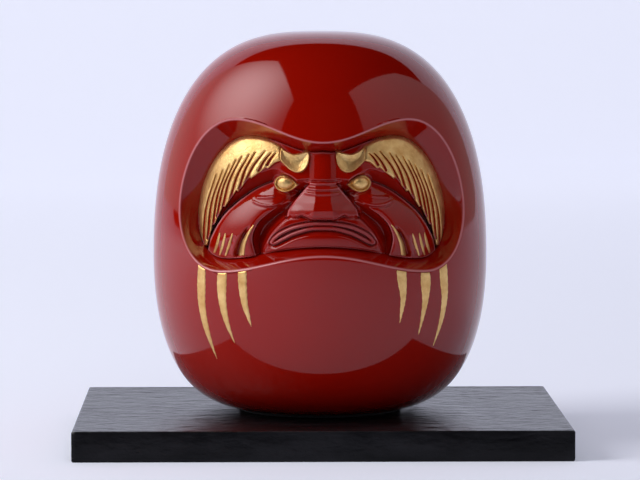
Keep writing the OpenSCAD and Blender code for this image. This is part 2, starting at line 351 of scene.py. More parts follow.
def makeBlackWood():
    finish = Finish("blackWood")
    streaks = finish.noise(120, 5, (0.3, 1, 1), 0.6)
    pores = finish.noise(560, 3, (0.5, 1, 1), 0.6)
    lumps = finish.noise(240, 4, (0.5, 0.7, 1))
    waxed = finish.node("ShaderNodeAttribute", {"attribute_name": "waxed"}, output=2)
    colour = finish.mix(finish.ramp(streaks, [(0.4, (0, 0, 0)), (0.7, (1, 1, 1))]),
                        woodLook["black"], woodLook["grey"])
    height = streaks * 0.4 + pores * 0.25 + lumps * 0.6
    rough = lumps * 0.25 + (woodLook["roughness"] - 0.12)
    bump = finish.bump(height, 0.9, woodLook["grain"])
    return finish.shade(Base_Color=colour, Roughness=rough, Specular_IOR_Level=0.14, Normal=bump,
                        Coat_Weight=waxed * woodLook["sheen"], Coat_Roughness=0.3, Coat_Normal=bump)


def makePlain(name, colour, roughness, grain, depth):
    finish = Finish(name)
    spots = finish.noise(grain, 4)
    tone = finish.mix(spots, tuple(c * 0.75 for c in colour), tuple(min(c * 1.2, 1) for c in colour))
    return finish.shade(Base_Color=tone, Roughness=roughness, Normal=finish.bump(spots, 0.6, depth))


redLacquer = makeLacquer()
goldLeaf = makeGold()
blackWood = makeBlackWood()
castPlaster = makePlain("castPlaster", (0.62, 0.6, 0.56), 0.9, 400, 0.0003)
plugWood = makePlain("plugWood", (0.35, 0.24, 0.14), 0.6, 220, 0.0002)
blackFelt = makePlain("blackFelt", (0.02, 0.02, 0.022), 0.95, 1500, 0.0003)
for nodeName, material in (
        ("base_weight", castPlaster), ("base_plug", plugWood), ("felt_pad", blackFelt)):
    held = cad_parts[nodeName].data.materials
    held.clear()
    held.append(material)
print("materials made")

# Body: a ball of rings round the front, slid onto the profile
bodyPiece = dict(around=288, rings=150, eye=(0.0, 66.5), wall=3.0, plugR=16.0,
                 lip=(0.885, 0.84, 0.81, 0.805, 0.8), edge=0.45, edgeSteps=4, rimHighlight=0.22)


def byAngle(line, angles):
    # the place of a closed line in the direction of each angle about the middle of the niche
    cx, cz = bodyPiece["eye"]
    turn = np.arctan2(line[:, 1] - cz, line[:, 0] - cx)
    order = np.argsort(turn)
    turn, line = turn[order], line[order]
    turn = np.concatenate([turn - 2 * np.pi, turn, turn + 2 * np.pi])
    line = np.vstack([line, line, line])
    return np.column_stack([np.interp(angles, turn, line[:, k]) for k in (0, 1)])


def nicheWall(angles, s):
    # the niche's wall, from the floor's edge at 0 to the rim at 1
    rim, floor = byAngle(nicheLine, angles), byAngle(maskLine, angles)
    at = floor + (rim - floor) * s
    under = smoothStep(0.6, 0.9, -np.sin(angles))
    low = frontY(floor[:, 0], floor[:, 1], sunk["floor"]) - sunk["ledge"] * under
    high = frontY(rim[:, 0], rim[:, 1])
    return np.column_stack([at[:, 0], low + (high - low) * s ** sunk["bow"], at[:, 1]])


def polarOf(places):
    gap = places - (0, 0, bodyPiece["eye"][1])
    return np.arccos(-gap[:, 1] / np.linalg.norm(gap, axis=1))


def onProfile(directions, deep):
    eye = np.array([0, 0, bodyPiece["eye"][1]])
    near, far = np.zeros(len(directions)), np.full(len(directions), 130.0)
    for _ in range(44):
        middle = (near + far) / 2
        at = eye + directions * middle[:, None]
        inside = np.hypot(at[:, 0], at[:, 1]) < radiusAt(at[:, 2], deep)
        inside &= np.abs(at[:, 2] - 58.5) < 59.5 - deep
        near, far = np.where(inside, middle, near), np.where(inside, far, middle)
    return eye + directions * near[:, None]


def extrudeRing(bm, edges):
    made = bmesh.ops.extrude_edge_only(bm, edges=edges)["geom"]
    verts = [g for g in made if isinstance(g, bmesh.types.BMVert)]
    fresh = set(verts)
    return verts, [g for g in made
                   if isinstance(g, bmesh.types.BMEdge) and all(v in fresh for v in g.verts)]


def anglesOf(verts):
    cx, cz = bodyPiece["eye"]
    return np.array([math.atan2(v.co.z - cz, v.co.x - cx) for v in verts])


def skinBall(bm, deep, footZ):
    # one skin of the shell, open at the niche and cut flat at the foot
    p = bodyPiece
    made = bmesh.ops.create_uvsphere(bm, u_segments=p["around"], v_segments=p["rings"], radius=1)["verts"]
    bmesh.ops.rotate(bm, verts=made, cent=(0, 0, 0), matrix=Matrix.Rotation(math.radians(90), 3, "X"))
    ball = np.array([v.co for v in made], float)
    front = min(made, key=lambda v: v.co.y)
    polar = np.arccos(np.clip(-ball[:, 1], -1, 1))
    turn = np.arctan2(ball[:, 2], ball[:, 0])
    start = polarOf(nicheWall(turn, 1.0)) if not deep else polarOf(nicheWall(turn, 0.8)) + 0.02
    first = math.pi / p["rings"]
    slid = start + (math.pi - start) * np.clip((polar - first) / (math.pi - first), 0, 1)
    ways = np.column_stack([np.sin(slid) * np.cos(turn), -np.cos(slid), np.sin(slid) * np.sin(turn)])
    for v, place in zip(made, onProfile(ways, deep)):
        v.co = place
    made.remove(front)
    bmesh.ops.delete(bm, geom=[front], context="VERTS")
    faces = list({f for v in made for f in v.link_faces})
    geom = made + list({e for f in faces for e in f.edges}) + faces
    kept = bmesh.ops.bisect_plane(bm, geom=geom, plane_co=(0, 0, footZ), plane_no=(0, 0, -1),
                                  clear_outer=True)["geom"]
    edges = [g for g in kept if isinstance(g, bmesh.types.BMEdge) and g.is_valid and g.is_boundary]
    foot = [e for e in edges if max(v.co.z for v in e.verts) < footZ + 0.01]
    return foot, [e for e in edges if min(v.co.z for v in e.verts) > footZ + 1]


def makeBody():
    p = bodyPiece
    bm = bmesh.new()
    innerFoot, innerRim = skinBall(bm, p["wall"], feltT + p["wall"])
    outerFoot, outerRim = skinBall(bm, 0.0, feltT)
    # the underside, with the opening for the plug
    feet = []
    for foot in (outerFoot, innerFoot):
        verts, ring = extrudeRing(bm, foot)
        for v in verts:
            v.co.xy = v.co.xy.normalized() * p["plugR"]
        feet += ring
    bmesh.ops.bridge_loops(bm, edges=feet)
    # the niche's edge and the first of its wall
    loop = outerRim
    for s in p["lip"]:
        verts, loop = extrudeRing(bm, loop)
        for v, place in zip(verts, nicheWall(anglesOf(verts), s)):
            v.co = place
    for e in loop:
        e.smooth = False
    bmesh.ops.bridge_loops(bm, edges=loop + innerRim)
    bmesh.ops.recalc_face_normals(bm, faces=bm.faces)
    bmesh.ops.bevel(bm, geom=outerRim, offset=p["edge"], segments=p["edgeSteps"], profile=0.5,
                    affect="EDGES", material=-1)
    piece = newPiece("bodyShell", bm, "doll", ["body_shell"], redLacquer)
    at = placesOf(piece)
    front = at[:, 1] < -18
    value = np.zeros(len(at))
    # painted highlight: a pale line along the niche's rim, lightened by the lacquer
    value[front] = p["rimHighlight"] * bell(insideBy(at[front, 0], at[front, 2], nicheLine), 0.35)
    markRelief(piece, value)
    return piece


makeBody()
print("body made")

# Niche: a dish from the lip down to its floor
cupPiece = dict(around=288, first=(0.8, 0.795, 0.785), wallRings=18, wall=1.2)


def makeCup():
    p = cupPiece
    bm = bmesh.new()
    bmesh.ops.create_circle(bm, segments=p["around"], radius=1, cap_ends=False)
    bmesh.ops.rotate(bm, verts=bm.verts, cent=(0, 0, 0), matrix=Matrix.Rotation(math.radians(90), 3, "X"))
    bmesh.ops.translate(bm, vec=(0, 0, bodyPiece["eye"][1]), verts=bm.verts)
    verts, loop = bm.verts[:], bm.edges[:]
    edge = loop
    eye = np.array(bodyPiece["eye"])
    low = p["first"][-1]
    layers = list(p["first"]) + [low * (1 - k / p["wallRings"]) for k in range(1, p["wallRings"] + 1)]
    for s in layers:
        if s < layers[0]:
            verts, loop = extrudeRing(bm, loop)
        for v, place in zip(verts, nicheWall(anglesOf(verts), s)):
            v.co = place
    # the floor steps back behind the mask's edge
    for share in (0.985, 0.8, 0.6, 0.4, 0.2):
        verts, loop = extrudeRing(bm, loop)
        flat = eye + (byAngle(maskLine, anglesOf(verts)) - eye) * share
        for v, (x, z), y in zip(verts, flat, frontY(flat[:, 0], flat[:, 1], sunk["deep"])):
            v.co = (x, y, z)
    bmesh.ops.contextual_create(bm, geom=loop)
    bmesh.ops.recalc_face_normals(bm, faces=bm.faces)
    if sum(f.normal.y * f.calc_area() for f in bm.faces) > 0:
        bmesh.ops.reverse_faces(bm, faces=bm.faces)
    for e in edge:
        e.smooth = False
    piece = newPiece("nicheCup", bm, "doll", ["niche_cup"], redLacquer)
    solid = piece.modifiers.new("wall", "SOLIDIFY")
    solid.thickness = p["wall"] * mm
    solid.offset = -1
    return piece


makeCup()
print("niche made")

# Face: lines and masses on the right half of its drawing sheet
eyeCrease = throughLine([(14.6, 72.6), (18, 71.3), (21.7, 69.2), (26.1, 65.8), (29, 63.1),
                         (31.4, 60), (33.2, 56.8), (34.4, 54), (35, 51)])
cheekEdge = throughLine([(6.6, 69.6), (9.8, 67.4), (13, 65.3), (16.6, 62.8), (19.2, 60.4), (20.7, 57.6),
                         (21.2, 55), (20.7, 52.2), (19.6, 49)])
furrow = throughLine([(10, 62.2), (11.6, 61.2), (13.4, 59.5), (15.4, 57.2), (17.2, 54), (18, 51.8),
                      (18.2, 49)])
cheekPad = np.vstack([eyeCrease, [(35, 46), (19.6, 46)], cheekEdge[::-1]])
muzzlePad = np.vstack([[(-1, 62)], [(9, 62.2)], furrow, [(18.2, 46), (-1, 46)]])
browInner = [(12.6, 79), (14.4, 78.4), (16.6, 76.6), (17.2, 76.9), (21.6, 73.4), (22.1, 73.9), (25.6, 69.3),
             (26.2, 69.6), (29.6, 64.4), (30.3, 64.5), (32.8, 58.9), (33.4, 58.7), (35, 52.2)]
browOuter = bezierLine([(36.3, 52.2), (37.8, 57), (38.1, 64), (36.4, 69.8), (34, 78.2), (28.4, 85.8),
                        (21.8, 85.9),
                        (17.5, 85.9), (14.2, 84.6), (12.6, 83.4)], 12)
browOutline = np.vstack([browInner, browOuter])
tuftOutline = throughLine([(12.6, 83.2), (10.9, 81.9), (9, 81.1), (7.2, 81.2), (4.6, 81.8), (4, 80.6),
                           (4.4, 78.2), (5.6, 76.3), (7.4, 75.5), (9.6, 76.1), (11.6, 77.8), (12.8, 79.1),
                           (13, 81), (12.6, 83.2)], 4)[:-1]
eyeOutline = throughLine([(7.4, 71.7), (9, 73.3), (11, 74.4), (12.9, 74.4), (14.3, 73.3), (14.6, 71.8),
                          (13.6, 70.2), (11.6, 69.5), (9.4, 70.1), (7.4, 71.7)], 5)[:-1]
bagUp = throughLine([(20.6, 67.6), (18.6, 67.8), (16, 68), (13.4, 68.7)])
bagLow = throughLine([(21.6, 67), (19.4, 65.9), (16.4, 65.5), (13.8, 65.9), (11.8, 66.7)])
noseSide = throughLine([(5.4, 70.8), (7, 69.2), (8.8, 67.2), (10.2, 65), (11, 63), (10.9, 61.9)])
noseUnder = throughLine([(-3.3, 61.3), (0, 61.3), (3.3, 61.3), (4.8, 61.9), (6.5, 62.5), (8, 61.9),
                         (10.9, 61.8)])
lipUpper = throughLine([(-4, 60.0), (0, 60.15), (4, 59.95), (8.6, 59), (12.4, 57.3), (14.4, 55.8),
                        (15.2, 54.8)])
lipLower = throughLine([(-4, 58.6), (0, 58.8), (4, 58.55), (8.6, 57.2), (12, 55.5), (14, 54.4),
                        (14.8, 54.1)])
grooves = [throughLine([(21.9, 59.6), (23.5, 57), (24.9, 54), (25.8, 50.4)]),
           throughLine([(26.8, 56.4), (27.9, 53.4), (28.6, 50.6)])]


def blend(h, other, share):
    return h * (1 - share) + other * share


def faceHeight(x, z):
    # height of the carving over the mask's plain surface, towards the front
    ax = np.abs(x)
    # lids: they hang from the brows down to the crease
    fold = np.vstack([[(3.5, 69.8), (9, 69.2)], eyeCrease])
    d = nearLine(ax, z, fold)[0]
    h = np.minimum(1.2 * d - 3.5, 1.3)
    # brow bed, thick under the gold
    browIn = np.maximum(insideBy(ax, z, browOutline), insideBy(ax, z, tuftOutline))
    bed = 0.9 + 0.9 * dome(ax, z, 24, 78, 14, 12, 1) + 0.4 * dome(ax, z, 8, 78, 7, 7, 1)
    h = blend(h, bed, smoothStep(-0.3, 0.2, browIn))
    # column between the brows
    column = smoothStep(4.6, 3.5, ax) * smoothStep(72.4, 73.6, z) * smoothStep(82.4, 81, z)
    h = blend(h, 2.1 - 0.05 * ax ** 2, column)
    # cheek: it swells downwards from the crease and rolls over its inner edge
    inner = nearLine(ax, z, cheekEdge)[0]
    cheek = -2.1 + 2.7 * (1 - np.exp(-d / 2.2)) - 1.1 * np.exp(-(inner / 1.1) ** 1.5)
    cheek += 2.9 * smoothStep(72, 57, z) - 0.045 * np.clip(56.5 - z, 0, 9) ** 1.6
    h = blend(h, cheek, smoothStep(-0.12, 0.12, insideBy(ax, z, cheekPad)))
    # the valley between cheek and mouth
    pit = insideBy(ax, z, np.vstack([cheekEdge, [(19.6, 46), (18.2, 46)], furrow[::-1], [(10, 64)]]))
    valley = 0.1 - 1.5 * np.clip(pit, 0, 2.2) ** 1.1 * smoothStep(69, 64, z)
    h = blend(h, np.minimum(h, valley), smoothStep(-0.25, 0.15, pit))
    # muzzle
    muzzle = 0.5 + 1.5 * dome(ax, z, 0, 57, 21, 13, 0.8)
    h = blend(h, muzzle, smoothStep(-0.3, 0.35, insideBy(ax, z, muzzlePad)))
    # nose: a broad pyramid of plain faces, from between the eyes to its wings
    spread = np.interp(z, [61.5, 64, 67, 70.4, 72], [11.2, 10.6, 8.4, 5.6, 4.2])
    ridge = np.interp(z, [61, 62.6, 64.2, 66.5, 69.2, 73], [3.4, 4.4, 4.7, 4.1, 2.9, 1.6])
    flat = np.interp(z, [61, 67, 72], [3.4, 2.4, 2.2])
    slant = np.clip((ax - flat) / (spread - flat), 0, 1)
    nose = ridge * (1 - slant) + 1.0 * slant + 0.45 * dome(ax, z, 8.2, 63.6, 3.2, 2.6, 2)
    near = smoothStep(0.35, -0.45, ax - spread)
    foot = np.interp(ax, noseUnder[5:, 0], noseUnder[5:, 1])
    near *= smoothStep(foot - 0.4, foot + 0.5, z) * smoothStep(73.6, 71.8, z)
    h = blend(h, np.maximum(h, nose), near)
    # wrinkles across the top of the nose
    for at, size in ((72.2, 0.8), (70.5, 0.65), (69.1, 0.55)):
        h += size * smoothStep(6.4, 4.2, ax) * (bell(z - at - 0.012 * ax ** 2, 0.38))
    # creases and folds
    crease, t = nearLine(ax, z, eyeCrease)
    h -= 0.4 * bell(crease, 0.25) * smoothStep(0, 0.08, t)
    d, t = nearLine(ax, z, furrow)
    h -= 0.6 * bell(d, 0.35)
    d, t = nearLine(ax, z, noseSide)
    h -= 0.8 * bell(d, 0.42) * smoothStep(0, 0.25, t)
    d, t = nearLine(ax, z, noseUnder)
    h -= 0.45 * bell(d, 0.4)
    for line in (bagUp, bagLow):
        d, t = nearLine(ax, z, line)
        h += 0.5 * bell(d, 0.36) * smoothStep(0, 0.15, t) * smoothStep(1, 0.7, t)
    d, t = nearLine(ax, z, bagLow - (0, 0.75))
    h -= 0.3 * bell(d, 0.4) * smoothStep(0, 0.15, t) * smoothStep(1, 0.7, t)
    # mouth: one rolled lip that turns back on itself in a rounded corner
    d1 = nearLine(ax, z, lipUpper)[0]
    d2 = nearLine(ax, z, lipLower)[0]
    d3 = nearLine(ax, z, throughLine([(15.2, 54.8), (15.4, 54.3), (14.8, 54.1)]))[0]
    d = np.minimum(np.minimum(d1, d2), d3)
    h -= 0.9 * bell(np.maximum(d - 0.7, 0), 0.3) * smoothStep(1.4, 0.65, d)
    roll = np.sqrt(np.clip(1 - (d / 0.66) ** 2, 0, 1))
    h = np.where(d < 0.66, muzzle - 0.75 + 1.7 * roll, h)
    # chin pad and the line under it
    chinTop = smoothStep(0.8, 1.9, d2) * smoothStep(57.8, 56.6, z + 0.018 * ax ** 2)
    h += 0.9 * chinTop * smoothStep(52.6, 53.5, z + 0.006 * ax ** 2) * smoothStep(17, 14, ax)
    # grooves beside the moustache and the whiskers
    for line, deep in zip(grooves, (2.2, 0.6)):
        d, t = nearLine(ax, z, line)
        h -= deep * bell(d, 0.4 + 0.5 * t) * smoothStep(0, 0.4, t)
    # eye seat
    eye = insideBy(ax, z, eyeOutline)
    h = blend(h, -0.5 * np.ones(h.shape), smoothStep(-0.7, 0.1, eye))
    return h


facePiece = dict(step=0.18, soften=1, low=(-38.16, 47.7), high=(38.16, 88.2), back=-14.0)


def softened(grid, times):
    for _ in range(times):
        wide = np.pad(grid, 1, mode="edge")
        grid = (wide[:-2, 1:-1] + wide[2:, 1:-1] + wide[1:-1, :-2] + wide[1:-1, 2:] + 4 * grid) / 8
    return grid


def softGrid(low, high, step, height, times):
    xs = np.arange(low[0], high[0] + step / 2, step)
    zs = np.arange(low[1], high[1] + step / 2, step)
    gx, gz = np.meshgrid(xs, zs)
    return xs, zs, softened(height(*onSheet(gx, gz)), times)


xs, zs, faceGrid = softGrid(
    facePiece["low"], facePiece["high"], facePiece["step"], faceHeight, facePiece["soften"])


def lookUp(grid, x, z):
    # a value between the places of a grid over the mask
    fx = np.clip((x - xs[0]) / facePiece["step"], 0, len(xs) - 1.001)
    fz = np.clip((z - zs[0]) / facePiece["step"], 0, len(zs) - 1.001)
    ix, iz = fx.astype(int), fz.astype(int)
    tx, tz = fx - ix, fz - iz
    return ((grid[iz, ix] * (1 - tx) + grid[iz, ix + 1] * tx) * (1 - tz)
            + (grid[iz + 1, ix] * (1 - tx) + grid[iz + 1, ix + 1] * tx) * tz)


def faceAt(x, z):
    return lookUp(faceGrid, x, z)


def sheet(low, high, step):
    # an upright grid over a stretch of x and z
    nx = max(2, int(round((high[0] - low[0]) / step)))
    nz = max(2, int(round((high[1] - low[1]) / step)))
    bm = bmesh.new()
    bmesh.ops.create_grid(bm, x_segments=nx, y_segments=nz, size=0.5)
    size = Vector((high[0] - low[0], high[1] - low[1], 1))
    bmesh.ops.scale(bm, vec=size, verts=bm.verts)
    middle = Vector(((low[0] + high[0]) / 2, (low[1] + high[1]) / 2, 0))
    bmesh.ops.translate(bm, vec=middle, verts=bm.verts)
    return bm


def dropFaces(bm, keep):
    # keep is one flag per vertex: a face goes when all of its corners are off
    flags = {v: k for v, k in zip(bm.verts, keep)}
    gone = [f for f in bm.faces if not any(flags[v] for v in f.verts)]
    bmesh.ops.delete(bm, geom=gone, context="FACES")
    loose = [v for v in bm.verts if not v.link_faces]
    bmesh.ops.delete(bm, geom=loose, context="VERTS")


def closeBack(bm, push):
    # turns a sheet into a closed piece: its border goes back, and a floor closes it
    border = [e for e in bm.edges if e.is_boundary]
    made = bmesh.ops.extrude_edge_only(bm, edges=border)["geom"]
    fresh = [g for g in made if isinstance(g, bmesh.types.BMVert)]
    for v in fresh:
        v.co = push(v.co)
    # each island of the sheet gets a floor of its own
    seen = set()
    for start in fresh:
        if start in seen:
            continue
        island = [start]
        seen.add(start)
        for v in island:
            for e in v.link_edges:
                other = e.other_vert(v)
                if other not in seen:
                    seen.add(other)
                    island.append(other)
        held = set(island)
        edges = [e for e in bm.edges if e.is_boundary and e.verts[0] in held]
        bmesh.ops.triangle_fill(bm, use_beauty=False, use_dissolve=False, edges=edges)
    bmesh.ops.recalc_face_normals(bm, faces=bm.faces)


def makeFace():
    p = facePiece
    bm = sheet(p["low"], p["high"], p["step"])
    at = coords(bm)
    x, z = at[:, 0], at[:, 1]
    inside = insideBy(x, z, maskLine)
    height = faceAt(x, z)
    shoulder = np.clip(1 - inside / 1.0, 0, 1)
    height -= sunk["edgeDrop"] * (1 - np.sqrt(1 - shoulder ** 2 * 0.98))
    height -= 6.5 * smoothStep(0.1, -0.5, inside)
    moveTo(bm, np.column_stack([x, frontY(x, z, sunk["mask"]) - height, z]))
    dropFaces(bm, inside > -0.9)
    closeBack(bm, lambda co: Vector((co.x, max(co.y + 1.0, p["back"]), co.z)))
    piece = newPiece("faceMask", bm, "doll", ["face_mask"], redLacquer)
    at = placesOf(piece)
    x, z = at[:, 0], at[:, 2]
    # painted highlight and painted shade: ridges of the carving get values above 0, which the lacquer
    # lightens, and hollows get values below 0, which it darkens
    value = lookUp(faceGrid - softened(faceGrid, 4), x, z)
    # painted highlight: a pale line just inside the mask's edge
    value += 0.12 * bell(insideBy(x, z, maskLine) - 0.25, 0.25)
    markRelief(piece, value)
    return piece


makeFace()
print("face made")

# Gold sheets: they rise out of the lacquer where their field is positive
goldPiece = dict(step=0.13, dip=0.5, apron=0.3, whiskerApron=0.12)


def goldOnMask(name, replaced, outline, field, lift, side, apron=goldPiece["apron"]):
    x0, z0 = onDoll(outline).min(0) - 0.7
    x1, z1 = onDoll(outline).max(0) + 0.7
    bm = sheet((x0, z0), (x1, z1), goldPiece["step"])
    at = coords(bm)
    x, z = at[:, 0], at[:, 1]
    sheetX, sheetZ = onSheet(x, z)
    inside = field(sheetX, sheetZ)
    under = np.maximum(inside, -1) * goldPiece["dip"] / apron
    rise = np.where(inside > 0, lift(sheetX, sheetZ, inside), under)
    base = faceAt(x, z)
    moveTo(bm, np.column_stack([side * x, frontY(x, z, sunk["mask"]) - base - rise, z]))
    dropFaces(bm, inside > -apron)
    closeBack(bm, lambda co: Vector((co.x, co.y + 0.6, co.z)))
    return newPiece(name, bm, "doll", [replaced], goldLeaf)


def roundedLift(height, width):
    return lambda x, z, inside: height * np.sqrt(
        np.clip(1 - (1 - np.clip(inside / width, 0, 1)) ** 2, 0, 1))


slits = [((14.2, 81.2), (16.3, 78.3)), ((15.6, 81.3), (18.6, 76.9)), ((17.4, 81.8), (22.4, 73.8)),
         ((20.4, 81.3), (24.3, 72.4)), ((22.3, 80.6), (26.9, 69.6)), ((24.5, 80), (29.2, 67.4)),
         ((26.3, 78.9), (31, 64.6)), ((28.3, 77.4), (32.4, 61.8)), ((30.3, 75.8), (34.1, 58.4)),
         ((32.4, 74.2), (35.7, 55))]


def slitField(x, z):
    # distance from the nearest slit's wall, with each slit bowed and widening downwards
    nearest = np.full(x.shape, 9.0)
    for (x0, z0), (x1, z1) in slits:
        x1, z1 = x1 + 0.22 * (x1 - x0), z1 + 0.22 * (z1 - z0)
        bow = 0.05 * math.hypot(x1 - x0, z1 - z0)
        middle = ((x0 + x1) / 2 + bow, (z0 + z1) / 2 + bow * 0.35)
        d, t = nearLine(x, z, throughLine([(x0, z0), middle, (x1, z1)], 8))
        nearest = np.minimum(nearest, d - (0.06 + 0.34 * t ** 0.6))
    return nearest


def browField(x, z):
    return np.minimum(insideBy(x, z, browOutline), slitField(x, z) + 0.02)


def browLift(x, z, inside):
    slit = np.clip(slitField(x, z), 0, 3)
    rim = insideBy(x, z, browOutline)
    plump = 0.95 * np.sqrt(np.clip(1 - (1 - np.clip(rim / 0.9, 0, 1)) ** 2, 0, 1))
    return plump * (0.3 + 0.7 * np.sqrt(np.clip(1 - (1 - np.clip(slit / 0.55, 0, 1)) ** 2, 0, 1)))


def tuftLift(x, z, inside):
    bowl = np.clip(inside / 2.6, 0, 1)
    return 0.15 + 1.0 * (1 - bowl) ** 1.6 * smoothStep(0, 0.25, inside)


def eyeRimLift(x, z, inside):
    return 0.1 + 0.75 * bell(inside - 0.28, 0.24)


moustacheLine = throughLine([(20.9, 59.4), (22.4, 57.2), (23.7, 54.6), (24.4, 52), (24.7, 49.4)])
whiskerTops = [(27.4, 29.6), (29.5, 31.4), (31.2, 33.2)]


def lineField(line, width):
    def field(x, z):
        d, t = nearLine(x, z, line)
        return np.minimum(width(t) - d, insideBy(*(onDoll(np.column_stack([x, z])).T), maskLine) - 0.7)
    return field


for side, word in ((-1, "left"), (1, "right")):
    cap = word.capitalize()
    goldOnMask("brow" + cap, "brow_" + word, browOutline, browField, browLift, side)
    goldOnMask("browTuft" + cap, "brow_tuft_" + word, tuftOutline,
               lambda x, z: insideBy(x, z, tuftOutline), tuftLift, side)
    goldOnMask("eyeRim" + cap, "eye_rim_" + word, eyeOutline,
               lambda x, z: insideBy(x, z, eyeOutline), eyeRimLift, side)
    goldOnMask("moustache" + cap, "moustache_" + word, moustacheLine,
               lineField(moustacheLine, lambda t: 0.18 + 0.78 * t ** 0.9), roundedLift(0.35, 0.5), side)
    whiskerLines = [throughLine([(a, 56.6), ((a + b) / 2 - 0.1, 53), (b, 49.4)]) for a, b in whiskerTops]
    goldOnMask("whiskers" + cap, "whiskers_" + word, np.vstack(whiskerLines),
               lambda x, z: np.max([lineField(line, lambda t: 0.1 + 0.32 * np.sin(
                   np.pi * np.clip(t, 0, 1)) ** 0.5)(x, z)
                                    for line in whiskerLines], axis=0), roundedLift(0.25, 0.35), side,
               goldPiece["whiskerApron"])

# Eyeballs
eyePiece = dict(at=(11.1, 73.0), size=(2.62, 1.9, 2.05), turn=14.0)


def makeEyeball(side, word):
    p = eyePiece
    bm = bmesh.new()
    bmesh.ops.create_uvsphere(bm, u_segments=64, v_segments=40, radius=1)
    at = coords(bm)
    # a little more pointed towards the nose
    at[:, 2] *= 1 - 0.18 * np.clip(-at[:, 0], 0, 1) ** 2
    moveTo(bm, at * p["size"])
    bmesh.ops.rotate(bm, verts=bm.verts, cent=(0, 0, 0),
                     matrix=Matrix.Rotation(math.radians(p["turn"]), 3, "Z"))
    x, z = p["at"]
    y = (float(frontY(np.array(x), np.array(z), sunk["mask"]))
         - float(faceAt(np.array([x]), np.array([z]))[0]))
    bmesh.ops.translate(bm, vec=(x, y, z), verts=bm.verts)
    if side < 0:
        bmesh.ops.scale(bm, vec=(-1, 1, 1), verts=bm.verts)
        bmesh.ops.reverse_faces(bm, faces=bm.faces)
    return newPiece("eyeball" + word.capitalize(), bm, "doll", ["eyeball_" + word], goldLeaf)


makeEyeball(-1, "left")
makeEyeball(1, "right")
print("gold on the mask made")

# Beard: brushed strokes on the body, by degrees round it and heights
strokePiece = dict(step=0.16, lift=0.22)
strokes = {
    "left_outer": [(-44.3, 48.4, 1.5), (-44.8, 42, 1.75), (-45.1, 36, 1.5), (-44.3, 29, 1.15),
                   (-42.1, 19.5, 0.1)],
    "left_middle": [(-35.2, 48, 1.6), (-35.8, 43.1, 1.75), (-35.8, 37.1, 1.4), (-34.7, 31.2, 0.9),
                    (-32.5, 24.8, 0.1)],
    "left_inner": [(-27.6, 48.8, 1.3), (-27.7, 43.8, 1.45), (-27.2, 37.7, 1.1), (-26.2, 33.8, 0.7),
                   (-25.2, 30.3, 0.1)],
    "right_inner": [(26.6, 49.3, 1.4), (27.1, 44.8, 1.6), (27.8, 39.2, 1), (27.5, 35, 0.6),
                    (27.1, 31.3, 0.1)],
    "right_middle": [(36.1, 48.2, 1.3), (36.7, 43.5, 1.9), (36.9, 38.1, 1.25), (36.3, 32.9, 0.7),
                     (35.4, 27.2, 0.1)],
    "right_outer": [(44.5, 48.6, 1.6), (45.1, 43.4, 1.7), (45.9, 37.8, 1.3), (45.3, 31, 0.9),
                    (43.5, 23.3, 0.1)],
}


def makeStroke(name, points):
    around = bodyR
    line = throughLine([(math.radians(a) * around, z) for a, z, w in points], 8)
    widths = throughLine([(w, 0) for a, z, w in points], 8)[:, 0]
    low, high = line.min(0) - 2.4, line.max(0) + (2.4, 0.9)
    bm = sheet(low, high, strokePiece["step"])
    at = coords(bm)
    s, z = at[:, 0], at[:, 1]
    d, t = nearLine(s, z, line)
    reach = np.concatenate([[0], np.cumsum(np.hypot(*(line[1:] - line[:-1]).T))])
    half = np.interp(t, reach / reach[-1], widths)
    ragged = 0.05 * np.sin(z * 3.1 + s * 2) + 0.03 * np.sin(z * 7.7 - s * 5)
    inside = half + ragged - d
    # the stroke is cut off along the niche's edge
    rimLow = onDoll(bezierLine(nicheHalf[6:], 60))
    x = radiusAt(z) * np.sin(s / around)
    edge = np.interp(np.abs(x), rimLow[::-1, 0], rimLow[::-1, 1])
    inside = np.minimum(inside, edge - 0.55 - z)
    rise = np.where(inside > 0, strokePiece["lift"] * np.sqrt(np.clip(inside / 0.35, 0, 1)),
                    np.maximum(inside, -1) * 1.2)
    r = radiusAt(z) + rise
    moveTo(bm, np.column_stack([r * np.sin(s / around), -r * np.cos(s / around), z]))
    dropFaces(bm, inside > -0.3)
    closeBack(bm, lambda co: Vector((co.x * 0.99, co.y * 0.99, co.z)))
    parts = name.split("_")
    return newPiece("beard" + parts[0].capitalize() + parts[1].capitalize(), bm, "doll", ["beard_" + name],
                    goldLeaf)


for name, points in strokes.items():
    makeStroke(name, points)
print("beard made")

# Board: worn grain pressed into its top
boardPiece = dict(steps=200, bevel=0.5, relief=0.17, seed=4)


